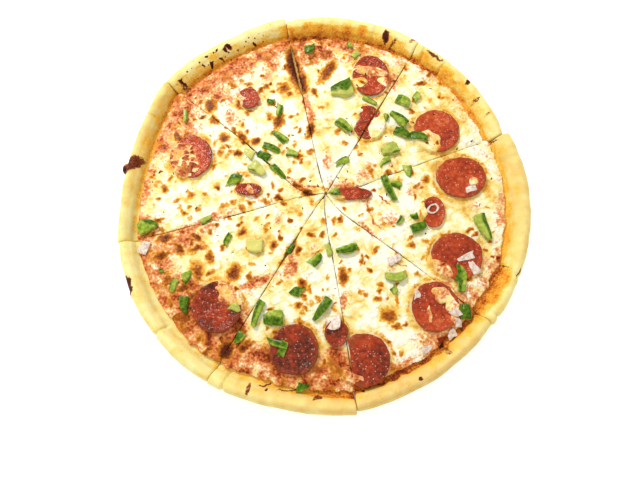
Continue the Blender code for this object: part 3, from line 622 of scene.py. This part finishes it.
cheese_finish = melted_cheese()
ring_angles, ring_starts, ring_thin, ring_toast = np.array(THIN_RING, float).T
draw = random.Random(7)
for index in SLICES:
    cheese = fine_copy(f"cheese_{index}", f"mozzarella_{index}", CHEESE_CELL, 2)
    bpy.ops.object.mode_set(mode="EDIT")
    solid = bmesh.from_edit_mesh(cheese.data)
    for face in solid.faces:
        face.select = face.normal.z > 0.2
    solid.select_flush(True)
    bmesh.update_edit_mesh(cheese.data)
    bpy.ops.mesh.subdivide(number_cuts=1)
    bpy.ops.object.mode_set(mode="OBJECT")
    spot = points_of(cheese)
    facing = normals_of(cheese)
    spot[:, 2] = np.minimum(spot[:, 2], CHEESE_HIGHEST)
    x, y, z = spot.T.copy()
    out = np.hypot(x, y)
    angle = np.degrees(np.arctan2(y, x)) % 360.0
    top = step(8.4, 9.8, z)
    ragged_x, ragged_y = stirred(*stirred(x, y, 1.3, 5.0, 31), 0.7, 2.2, 33)
    on_disc = np.zeros_like(x)
    by_disc = np.zeros_like(x)
    for middle_x, middle_y, width, depth in DISCS:
        away = np.hypot((x - middle_x) / width, (y - middle_y) / depth) * 2.0
        on_disc = np.maximum(on_disc, step(1.12, 0.98, away))
        by_disc = np.maximum(by_disc, step(1.35, 1.05, away))
    flow = stirred(x, y, 2.2, 6.0, 35)
    over = spots(*flow, [run[:5] + (1.0,) for run in RUN_OVER], 0.30) * on_disc
    through = spots(*flow, RUN_OVER, 0.30) * on_disc
    strands = step(0.35, 0.10, np.abs(ripple(*stirred(x, y, 1.5, 3.0, 37), 5.0, 36)))
    curds = 0.5 * ripple(ragged_x, ragged_y, 8.0, 21) + 0.32 * ripple(ragged_x, ragged_y, 4.4, 22)
    curds += 0.20 * ripple(x, y, 2.2, 23)
    creases = np.exp(-((ripple(ragged_x, ragged_y, 7.0, 24) / 0.14) ** 2))
    bubbles_and_gap_shade = list(TOASTED_AND_GAP_SHADE)
    inside = np.flatnonzero(top > 0.9)
    for _ in range(SMALL_BUBBLES[index - 1]):
        n = inside[draw.randrange(len(inside))]
        size = draw.uniform(2.0, 4.6)
        length = size * draw.uniform(1.0, 1.7)
        bubbles_and_gap_shade.append((x[n], y[n], length, size, draw.uniform(0.0, 180.0), draw.uniform(0.20, 0.85)))
    toasted_and_gap_shade = spots(ragged_x, ragged_y, bubbles_and_gap_shade, 0.85)
    start = np.interp(angle, ring_angles, ring_starts) + 10.0 * ripple(x, y, 14.0, 25)
    ring = step(-8.0, 22.0, out - start) * (1.0 - 0.17 * step(144.0, 154.0, out))
    thin_and_shaded = ring * np.interp(angle, ring_angles, ring_thin) * (0.85 + 0.35 * ripple(x, y, 5.0, 27))
    thin_and_shaded_patches = spots(ragged_x, ragged_y, THIN_AND_SHADED_PATCHES, 0.6) * (0.8 + 0.3 * ripple(x, y, 5.0, 28))
    veiled = (0.85 - 0.75 * strands - 0.25 * ripple(x, y, 9.0, 39)) * through
    thin_and_shaded = np.maximum(np.maximum(thin_and_shaded, thin_and_shaded_patches), veiled)
    for crack in CRACKS:
        width = 1.1 + 0.9 * ripple(x, y, 7.0, 40)
        line = np.exp(-((beside(ragged_x, ragged_y, *crack) / width) ** 2))
        thin_and_shaded = np.maximum(thin_and_shaded, (0.75 + 0.35 * ripple(x, y, 5.0, 42)) * line)
    baked = ring * np.interp(angle, ring_angles, ring_toast)
    toasted_and_gap_shade = np.maximum(toasted_and_gap_shade, baked * step(0.0, 0.8, ripple(ragged_x, ragged_y, 6.0, 26)) * 0.9)
    greasy = by_disc * (1.0 - on_disc) * step(-0.5, 0.6, ripple(ragged_x, ragged_y, 8.0, 38))
    toasted_and_gap_shade = np.maximum(toasted_and_gap_shade, 0.42 * greasy)
    height = (0.9 * curds - 0.5 * creases + 0.6 * toasted_and_gap_shade - 0.5 * thin_and_shaded) * (1.0 - on_disc)
    height += over * (RUN_OVER_RISE + 0.5 * curds)
    height += WHITE_LUMP_RISE * spots(x, y, WHITE_LUMPS, 0.3)
    edge = np.hypot(facing[:, 0], facing[:, 1])
    spot[:, :2] += facing[:, :2] * (0.32 + 0.24 * ripple(x, y, 9.0, 29))[:, None]
    spot[:, :2] += closed_tip(x, y)
    outer = edge * step(148.0, 154.0, out) * (facing[:, 0] * x + facing[:, 1] * y > 0.0)
    spot[:, :2] += facing[:, :2] * (outer * (1.6 + 1.4 * ripple(x, y, 5.0, 30)))[:, None]
    spot[:, 2] += top * height
    set_points(cheese, spot)
    # The toasting is marked down the cheese's side walls as well, which darkens the cuts between the slices
    # as painted shade.
    mark(cheese, "toasted_and_gap_shade", toasted_and_gap_shade * step(5.6, 6.8, z))
    # Yellower in creases and between the curds as painted shade, and around the pepperoni where their fat
    # ran.
    mark(cheese, "fat_and_hollow_shade", np.clip(0.4 * creases + 0.4 * by_disc - 0.7 * curds, -0.4, 1.0))
    mark(cheese, "thin_and_shaded", thin_and_shaded * step(7.6, 9.0, z))
    cheese.data.materials.append(cheese_finish)
    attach(cheese, "root")
    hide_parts(f"cheese_{index}")

# The pepperoni: thin discs of cured sausage, baked until their edges curled up and their fat ran.
# Each is a red paste with paler grains of fat, wet with its own oil; the grains are also whitened to
# stand for glints on the oil, as painted highlights. Some were baked darker.
SAUSAGE_CELL = 0.7 * MM
DISC_WAVER = 0.7
# How dark each disc was baked
BAKED_DARK = (0.5, 0.35, 0.3, 0.4, 0.4, 0.15, 0.2, 0.3, 0.2, 0.25, 0.7, 0.6, 0.8, 0.8, 0.45, 0.4)


def cured_sausage():
    """Pepperoni: brick red and wet with fat, with pale fat grains a millimetre or two across, whitened as
    painted glints.
    """
    material = new_material("baked_pepperoni", 0.13, 0.30)
    where = add_node(material, "ShaderNodeTexCoord").outputs["Object"]
    dark = add_node(material, "ShaderNodeAttribute", attribute_name="dark").outputs["Fac"]
    rim = add_node(material, "ShaderNodeAttribute", attribute_name="edge").outputs["Fac"]
    meat = add_node(material, "ShaderNodeTexNoise", {"Vector": where, "Scale": 330.0, "Detail": 4.0})
    grain_and_glint_cells = add_node(material, "ShaderNodeTexVoronoi", {"Vector": where, "Scale": 520.0})
    tone = add_node(material, "ShaderNodeMath", {0: meat, 1: 0.65, 2: 0.20}, operation="MULTIPLY_ADD")
    tone = add_node(material, "ShaderNodeMath", {0: dark, 1: -0.30, 2: tone}, operation="MULTIPLY_ADD")
    stops = ((0.14, "#4C1A04"), (0.28, "#80290A"), (0.40, "#A8360E"), (0.52, "#C04716"), (0.66, "#D46E3C"))
    red = add_node(material, "ShaderNodeValToRGB", {"Fac": tone}, stops)
    # The pale fat grains are made few, whitish and strong so that they also stand for glints: painted
    # highlights.
    range_of_fat_and_glints = {"Value": grain_and_glint_cells, "From Min": 0.34, "From Max": 0.16, "To Max": 0.75}
    fat_and_glints = add_node(material, "ShaderNodeMapRange", range_of_fat_and_glints)
    shade = grain_and_glint_cells.outputs["Color"]
    few = add_node(material, "ShaderNodeMath", {0: shade, 1: 0.66}, operation="GREATER_THAN")
    fat_and_glints = add_node(material, "ShaderNodeMath", {0: fat_and_glints, 1: few}, operation="MULTIPLY")
    marbled_and_glinting = add_node(material, "ShaderNodeMixRGB", {"Fac": fat_and_glints, "Color1": red, "Color2": "#E2A888"})
    final = add_node(material, "ShaderNodeMixRGB", {"Fac": rim, "Color1": marbled_and_glinting, "Color2": "#A2481A"})
    finish_with(material, final, meat, 0.9, 0.0014)
    return material


sausage_finish = cured_sausage()
for number, darkness in enumerate(BAKED_DARK, start=1):
    node = f"pepperoni_{number:02d}"
    disc = fine_copy(node, f"sausage_{number:02d}", SAUSAGE_CELL, 2)
    spot = points_of(disc)
    x, y, z = spot.T.copy()
    spot[:, :2] += normals_of(disc)[:, :2] * (DISC_WAVER * ripple(x, y, 7.0, number + 90))[:, None]
    lowest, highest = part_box(node)
    middle = (np.array(lowest) + np.array(highest)) / 2.0 / MM - np.array(PAN_TO_OUTLINE)
    size = (np.array(highest) - np.array(lowest)) / MM
    away = np.hypot((x - middle[0]) / size[0], (y - middle[1]) / size[1]) * 2.0
    upper = step(middle[2] - 0.6, middle[2] + 0.2, z)
    spot[:, 2] += upper * (0.30 * ripple(x, y, 6.0, number) + 0.16 * ripple(x, y, 2.6, number + 20))
    set_points(disc, spot)
    mark(disc, "edge", 0.6 * step(0.84, 1.0, away + 0.06 * ripple(x, y, 5.0, number)))
    uneven = 0.35 * ripple(x, y, 14.0, number + 40) + 0.15 * ripple(x, y, 4.0, number + 60)
    mark(disc, "dark", darkness + uneven)
    disc.data.materials.append(sausage_finish)
    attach(disc, "root")
    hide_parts(node)

# The green pepper: bell pepper cut into strips and squares, softened in the oven.
# One side is dark waxy skin and the other pale wet flesh, and each piece arches with its skin outwards.
PEPPER_CELL = 0.6 * MM
# The large pieces: length, width, turn, the side that is skin, how far flesh reaches up to it, how pale,
# how much one end widens, how far the ends bend aside, and how far the middle bulges up
PEPPER_LOOKS = (
    # The first piece's pale flesh stands partly for the grey sheen on it: a painted highlight.
    (19, 16, 13, 90, -0.3, 0.6, 0.45, 0.0, 1.2), (15, 8, 136, 90, 0.2, 0.2, 0.15, 0.9, 0.0),
    (13, 9, 153, 0, 0.5, 0.1, 0.1, 0.5, 0.0), (18, 8, 138, -90, 0.0, 0.1, -0.4, 0.6, 0.3),
    (15, 7, 155, 90, -1.3, 0.0, 0.2, 0.9, 0.3), (15, 11, 18, -60, 0.8, 0.4, 0.25, -1.0, 0.0),
    (24, 7, 112, 90, -0.5, 0.0, 0.25, -0.8, 0.2), (13, 9, 22, 90, -0.7, 0.1, -0.2, 0.5, 0.2),
    (24, 9, 110, -90, 0.1, 0.3, 0.4, -0.6, 0.2), (10, 8, 89, 90, 0.0, 0.1, 0.15, 0.0, 0.0),
    (12, 11, 86, 90, -1.4, 0.0, -0.1, 0.0, 1.8), (17, 8, 5, -90, 0.7, 0.3, 0.1, 2.2, 0.0),
    (18, 7, 14, -90, -0.1, 0.0, 0.2, 0.9, 0.0), (21, 7, 53, 90, -1.2, 0.3, 0.4, 0.3, 0.4),
    (15, 13, 3, -90, -0.2, 0.0, 0.15, -0.6, 0.7), (21, 6, 70, 90, 0.2, 0.0, 0.15, -0.9, 0.0),
    (13, 12, 2, 90, 1.4, 1.0, 0.1, 0.3, 0.0), (16, 11, 16, 30, 0.3, 0.1, -0.5, -1.0, 0.6),
    (15, 10, 136, 90, 0.9, 0.6, 0.3, 0.8, 0.0),
)  # fmt: skip
PEPPER_BIT_THICKNESS = 2.8
# Small pieces: x, y, length, width, turn, how much skin shows, and how pale the flesh is
PEPPER_BITS = (
    (-122, 75, 12, 3.6, 92, 0.3, 0.4), (-46, 89, 7, 4.5, 163, 0.9, 0.0), (-38, 81, 11, 5.4, 79, 0.4, 0.1),
    (-36, 54, 14, 6.2, 141, 0.5, 0.1), (-43, 44, 16, 6.0, 158, 0.7, 0.0), (-26, 39, 10, 6.2, 166, 0.2, 0.2),
    (-64, 39, 10, 6.5, 145, 0.0, 0.7), (-51, 37, 12, 6.5, 154, 1.0, 0.0), (-38, 22, 16, 5.3, 133, 0.7, 0.0),
    (-76, 14, 11, 9.5, 2, 0.6, 0.1), (-11, 144, 9, 8.4, 0, 0.9, 0.1), (26, 148, 7, 4.7, 102, 0.2, 0.2),
    (32, 138, 8, 6.0, 41, 0.1, 0.4), (86, 94, 8, 6.3, 51, 0.2, 0.2), (58, 73, 6, 3.6, 88, 0.4, 0.1),
    (86, 54, 15, 7.0, 157, 1.0, 0.0), (55, 31, 11, 5.2, 40, 0.3, 0.2), (18, 31, 12, 5.2, 28, 0.3, 0.1),
    (75, 22, 10, 6.0, 98, 0.3, 0.2), (65, 10, 9, 6.0, 161, 0.5, 0.1), (11, 2, 8, 6.0, 13, 0.5, 0.1),
    (67, -23, 8, 4.2, 57, 0.5, 0.3), (6, -48, 10, 5.0, 109, 0.1, 0.3), (60, -82, 6, 5.7, 62, 0.3, 0.2),
    (-98, -22, 10, 5.0, 33, 0.3, 0.4), (-79, -39, 10, 4.2, 64, 0.5, 0.0), (-111, -71, 8, 7.0, 41, 0.3, 0.1),
    (-122, -79, 11, 5.0, 71, 0.3, 0.2), (-112, -94, 13, 6.5, 96, 0.9, 0.0),
    (-133, -66, 4, 3.3, 0, 0.5, 0.0), (-70, -97, 9, 5.7, 152, 0.1, 0.4), (-20, -83, 9, 8.0, 47, 0.9, 0.0),
    (-5, -57, 12, 7.5, 50, 0.5, 0.0), (-66, -121, 10, 6.0, 57, 0.7, 0.0),
    (-36, -125, 15, 5.6, 169, 0.7, 0.0), (-31, -130, 11, 6.0, 66, 0.8, 0.0),
    (-15, -159, 9, 6.0, 178, 0.8, 0.0), (-26, -47, 9, 3.4, 58, 1.0, 0.0), (79, -19, 6, 5.0, 10, 0.8, 0.0),
    (115, -69, 13, 8.0, 89, 0.5, 0.1), (44, 90, 14, 4.2, 150, 0.3, 0.2),
)  # fmt: skip


def cooked_pepper():
    """Green pepper: dark waxy skin that shines, yellow-green wet flesh, paler at its ribs; on the first large
    piece the paleness is partly a painted highlight.
    """
    material = new_material("cooked_green_pepper", 0.24, 0.18)
    where = add_node(material, "ShaderNodeTexCoord").outputs["Object"]
    skin = add_node(material, "ShaderNodeAttribute", attribute_name="skin").outputs["Fac"]
    pale_and_sheen = add_node(material, "ShaderNodeAttribute", attribute_name="pale_and_sheen").outputs["Fac"]
    cells = add_node(material, "ShaderNodeTexNoise", {"Vector": where, "Scale": 380.0, "Detail": 3.0})
    stops = ((0.32, "#2C4A04"), (0.5, "#486A08"), (0.68, "#6C8A1C"))
    waxy = add_node(material, "ShaderNodeValToRGB", {"Fac": cells}, stops)
    stops = ((0.32, "#5C800C"), (0.5, "#82A01C"), (0.68, "#AEC040"))
    green = add_node(material, "ShaderNodeValToRGB", {"Fac": cells}, stops)
    flesh = add_node(material, "ShaderNodeMixRGB", {"Fac": pale_and_sheen, "Color1": green, "Color2": "#DCD372"})
    final = add_node(material, "ShaderNodeMixRGB", {"Fac": skin, "Color1": flesh, "Color2": waxy})
    finish_with(material, final, cells, 0.35, 0.0008)
    return material


pepper_finish = cooked_pepper()
for number, looks in enumerate(PEPPER_LOOKS, start=1):
    length, width, turn, side, flesh_reach, paleness_and_sheen, taper, bend, bulge = looks
    node = f"pepper_{number:02d}"
    chunk = fine_copy(node, f"green_pepper_{number:02d}", PEPPER_CELL, 2)
    spot = points_of(chunk)
    facing = normals_of(chunk)
    x, y, z = spot.T.copy()
    middle = (spot.min(0) + spot.max(0)) / 2.0
    c, s = math.cos(math.radians(turn)), math.sin(math.radians(turn))
    u = ((x - middle[0]) * c + (y - middle[1]) * s) * 2.0 / length
    v = ((y - middle[1]) * c - (x - middle[0]) * s) * 2.0 / width
    lift = step(z.min(), z.max(), z)
    aside = v * width * 0.5 * taper * u + bend * (u * u - 0.4)
    spot[:, 0] -= s * aside
    spot[:, 1] += c * aside
    spot += facing * (0.25 * ripple(x, y, 4.0, number) + 0.15)[:, None]
    arch = 0.45 * np.sign(flesh_reach) * (v * v - 0.3) + bulge * np.clip(0.8 - u * u - v * v, 0.0, 1.0)
    spot[:, 2] += lift * (0.35 * ripple(x, y, 7.0, number + 60) + arch)
    set_points(chunk, spot)
    across = u * math.cos(math.radians(side)) + v * math.sin(math.radians(side))
    skin = step(-0.16, 0.16, across - flesh_reach + 0.3 * ripple(x, y, 6.0, number + 80))
    mark(chunk, "skin", np.maximum(skin * step(0.2, 0.6, facing[:, 2]), step(-0.3, -0.8, facing[:, 2])))
    mark(chunk, "pale_and_sheen", paleness_and_sheen + 0.3 * step(0.1, 0.7, ripple(x, y, 5.0, number)))
    chunk.data.materials.append(pepper_finish)
    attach(chunk, "root")
    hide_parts(node)


def top_surface():
    """The tops of the cheese and the pepperoni as one surface that can be asked for its height."""
    corners, faces = [], []
    for obj in bpy.context.scene.objects:
        if obj.name.startswith(("mozzarella_", "sausage_")):
            start = len(corners)
            corners += [point.co.copy() for point in obj.data.vertices]
            faces += [[start + n for n in face.vertices] for face in obj.data.polygons if face.normal.z > 0.0]
    return BVHTree.FromPolygons(corners, faces)


def height_at(surface, x, y):
    """Height of the surface in millimetres at this place on the pizza."""
    found = surface.ray_cast(place(x, y, 60.0), Vector((0.0, 0.0, -1.0)))[0]
    return found.z / MM if found else 8.0


def soft_block():
    """A block one unit long with rounded edges, as points and faces."""
    bpy.ops.object.select_all(action="DESELECT")
    bpy.ops.mesh.primitive_cube_add(size=1.0)
    block = bpy.context.object
    bpy.ops.object.mode_set(mode="EDIT")
    bpy.ops.mesh.select_all(action="SELECT")
    bpy.ops.mesh.bevel(offset=0.07, segments=2, affect="EDGES")
    bpy.ops.mesh.select_all(action="SELECT")
    bpy.ops.mesh.subdivide(number_cuts=2)
    bpy.ops.mesh.quads_convert_to_tris()
    bpy.ops.object.mode_set(mode="OBJECT")
    corners = np.array([point.co for point in block.data.vertices])
    faces = [tuple(face.vertices) for face in block.data.polygons]
    bpy.data.objects.remove(block)
    return corners, faces


def joined_piece(name, pieces, marks):
    """One object from many small pieces, each given as points in pan millimetres and faces."""
    corners, faces = [], []
    for points, sides in pieces:
        start = len(corners)
        corners += [place(*point) for point in points]
        faces += [tuple(start + n for n in side) for side in sides]
    mesh = bpy.data.meshes.new(name)
    mesh.from_pydata(corners, [], faces)
    mesh.shade_smooth()
    obj = bpy.data.objects.new(name, mesh)
    bpy.context.scene.collection.objects.link(obj)
    for mark_name, values in marks.items():
        mark(obj, mark_name, np.concatenate(values))
    return obj


def laid_bit(block, surface, x, y, length, width, thickness, turn, arch, seed):
    """One small piece laid on the surface: its points, which sink in a little and follow the slope."""
    u, v, w = block.T.copy()
    c, s = math.cos(math.radians(turn)), math.sin(math.radians(turn))
    ends = [height_at(surface, x + c * length * k, y + s * length * k) for k in (-0.4, 0.0, 0.4)]
    sides = [height_at(surface, x - s * width * k, y + c * width * k) for k in (-0.4, 0.4)]
    rest = max(ends + sides) - 0.3
    taper, bend, slant = np.random.default_rng(seed).uniform(-1.0, 1.0, 3) * (0.8, 0.25, 0.45)
    across = v * width * (1.0 - 0.10 * (2.0 * u) ** 2 + taper * u) + bend * width * ((2.0 * u) ** 2 - 0.4)
    across += 0.10 * width * ripple(u * 4.0, w, 1.0, seed)
    along = u * length + slant * v * width + 0.10 * length * ripple(v * 2.0, w, 1.0, seed + 1)
    slope = (ends[2] - ends[0]) / (0.8 * length), (sides[1] - sides[0]) / (0.8 * width)
    height = rest + (w + 0.5) * thickness - 0.5 - arch * thickness * ((2.0 * u) ** 2 + (2.0 * v) ** 2)
    height += np.clip(slope[0], -0.3, 0.3) * along + np.clip(slope[1], -0.3, 0.3) * across
    return np.stack((x + along * c - across * s, y + along * s + across * c, height), 1)


surface = top_surface()
block, block_faces = soft_block()
pieces, skins, pales = [], [], []
for seed, (x, y, length, width, turn, skin_up, paleness_and_sheen) in enumerate(PEPPER_BITS, start=300):
    points = laid_bit(block, surface, x, y, length, width, PEPPER_BIT_THICKNESS, turn, 0.16, seed)
    pieces.append((points, block_faces))
    u, v, w = block.T
    side = 1.0 if seed % 2 else -1.0
    skin = step(-0.25, 0.25, 2.0 * v * side + 2.4 * skin_up - 1.2 + 0.3 * ripple(u * 3.0, v * 2.0, 1.0, seed))
    skins.append(np.maximum(step(0.20, 0.42, w) * skin, step(-0.3, -0.45, w)))
    pales.append(paleness_and_sheen + 0.3 * step(0.1, 0.7, ripple(u * 4.0, v * 4.0, 1.0, seed + 2)))
pepper_bits = joined_piece("green_pepper_bits", pieces, {"skin": skins, "pale_and_sheen": pales})
pepper_bits.data.materials.append(pepper_finish)
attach(pepper_bits, "root")

# The onion: white onion cut into small squares, still a little crisp.
# Its layers are thin, wet and slightly see-through, with brownish edges.
ONION_BIT_THICKNESS = 1.8
# Small pieces: x, y, length, width and turn
ONION_BITS = (
    (9, -109, 11, 10.5, 8), (120, -55, 14, 5, 21), (126, -64, 11, 5.8, 118), (129, 5, 9, 5.2, 12),
    (78, -86, 5, 6.5, 0), (108, -101, 8, 6.5, 20), (-149, -46, 11, 8, 60), (84, -130, 9, 5, 30),
    (105, -118, 8, 6, 40), (110, -109, 7, 5, 100),
)  # fmt: skip
# The one whole ring: x, y, length, width, turn and how thick it is
ONION_RING = (95, -13, 10.5, 7.5, 30, 1.5)


def white_onion():
    """White onion: cream with a faint pink cast, wet, with fine lines along its layers."""
    material = new_material("white_onion", 0.30, 0.35)
    where = add_node(material, "ShaderNodeTexCoord").outputs["Object"]
    veins = add_node(material, "ShaderNodeTexNoise", {"Vector": where, "Scale": 420.0, "Detail": 2.0})
    stops = ((0.30, "#C4A48C"), (0.48, "#DEC8B4"), (0.66, "#F0E6DA"))
    colour = add_node(material, "ShaderNodeValToRGB", {"Fac": veins}, stops)
    finish_with(material, colour, veins, 0.25, 0.0006)
    return material


onion_finish = white_onion()
onion = fine_copy("onion_01", "onion_square", PEPPER_CELL, 2)
onion.data.materials.append(onion_finish)
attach(onion, "root")
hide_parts("onion_01")
pieces = []
for seed, (x, y, length, width, turn) in enumerate(ONION_BITS, start=500):
    points = laid_bit(block, surface, x, y, length, width, ONION_BIT_THICKNESS, turn, 0.05, seed)
    pieces.append((points, block_faces))
bpy.ops.object.select_all(action="DESELECT")
bpy.ops.mesh.primitive_torus_add(major_segments=40, minor_segments=12, major_radius=0.45, minor_radius=0.10)
ring = bpy.context.object
x, y, length, width, turn, thickness = ONION_RING
c, s = math.cos(math.radians(turn)), math.sin(math.radians(turn))
u, v, w = np.array([point.co for point in ring.data.vertices]).T * ((length,), (width,), (thickness * 3.5,))
v += 0.12 * u * u / length + 0.35 * ripple(u, v, 3.0, 90)
height = height_at(surface, x, y) + 0.3 * thickness + w - 0.07 * u + 0.3 * ripple(u, v, 4.0, 91)
ring_points = np.stack((x + u * c - v * s, y + u * s + v * c, height), 1)
pieces.append((ring_points, [tuple(face.vertices) for face in ring.data.polygons]))
bpy.data.objects.remove(ring)
onion_bits = joined_piece("onion_bits", pieces, {})
onion_bits.data.materials.append(onion_finish)
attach(onion_bits, "root")

# The herbs: dried oregano, in flakes a millimetre or two long, darkened by the oven.
HERB_COUNT = 90
HERB_REACH = 150.0


def dried_oregano():
    """Dried oregano: dry, olive to almost black."""
    material = new_material("dried_oregano", 0.8, 0.2)
    where = add_node(material, "ShaderNodeTexCoord").outputs["Object"]
    leaf = add_node(material, "ShaderNodeTexNoise", {"Vector": where, "Scale": 300.0, "Detail": 2.0})
    colour = add_node(material, "ShaderNodeValToRGB", {"Fac": leaf}, ((0.40, "#24190A"), (0.60, "#4A4416")))
    finish_with(material, colour, leaf, 0.3, 0.0004)
    return material


pieces = []
for seed in range(HERB_COUNT):
    far = HERB_REACH * math.sqrt(draw.random())
    turn = draw.uniform(0.0, 2.0 * math.pi)
    x, y = far * math.cos(turn), far * math.sin(turn)
    length = draw.uniform(1.2, 2.8)
    flake = laid_bit(block, surface, x, y, length, 0.45 * length, 0.5, draw.uniform(0.0, 180.0), 0.3, seed)
    pieces.append((flake + np.array((0.0, 0.0, 0.35)), block_faces))
herbs = joined_piece("oregano_flakes", pieces, {})
herbs.data.materials.append(dried_oregano())
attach(herbs, "root")

lowest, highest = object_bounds()
